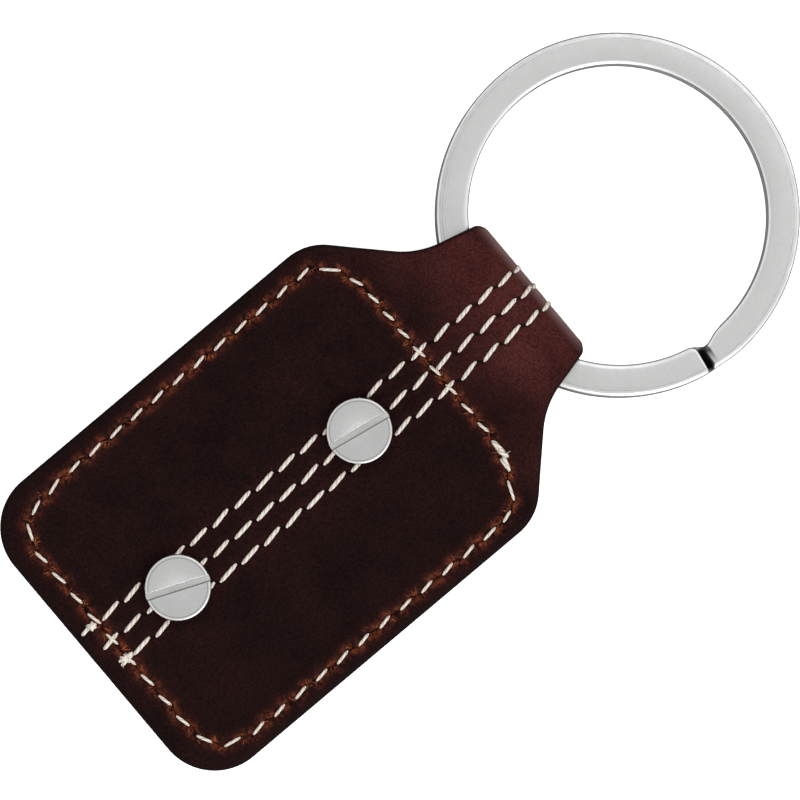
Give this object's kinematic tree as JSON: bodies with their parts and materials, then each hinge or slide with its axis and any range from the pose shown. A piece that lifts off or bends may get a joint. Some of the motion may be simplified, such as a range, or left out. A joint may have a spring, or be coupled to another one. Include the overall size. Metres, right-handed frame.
{
  "type": "keychain",
  "caption": "Dark brown leather key fob folded over a flat split ring that swings in the leather loop, with cream lock stitching and slotted screws.",
  "frame": {"origin": "centre of the footprint, on the surface the keychain lies on", "axes": "+Y from the fob's bottom edge towards the ring, +X across the fob to the right, +Z out of the stitched front"},
  "size_m": [0.035, 0.0832, 0.0093],
  "materials": {
    "dark_leather": "dark brown oiled leather, fine grain, near-black painted edge",
    "leather_board": "pressed leather board, edge painted near black",
    "cream_thread": "twisted cream sewing thread",
    "ring_steel": "nickel plated flat steel wire, satin",
    "screw_steel": "nickel plated, satin face"
  },
  "bodies": {
    "fob": {"leather_strap": "dark_leather", "filler_board": "leather_board", "upper_screw": "screw_steel", "lower_screw": "screw_steel", "upper_screw_post": "screw_steel", "lower_screw_post": "screw_steel", "left_row_needle_thread": "cream_thread", "left_row_bobbin_thread": "cream_thread", "centre_row_needle_thread": "cream_thread", "centre_row_bobbin_thread": "cream_thread", "right_row_needle_thread": "cream_thread", "right_row_bobbin_thread": "cream_thread", "edge_seam_needle_thread": "cream_thread", "edge_seam_bobbin_thread": "cream_thread"},
    "ring": {"split_ring": "ring_steel"}
  },
  "joints": [
    {"name": "ring_swing", "type": "hinge", "parent": "fob", "child": "ring", "pos_m": [0, 0.00974, 0.0047], "axis": [1, 0, 0], "range_deg": [-83, 96]}
  ]
}
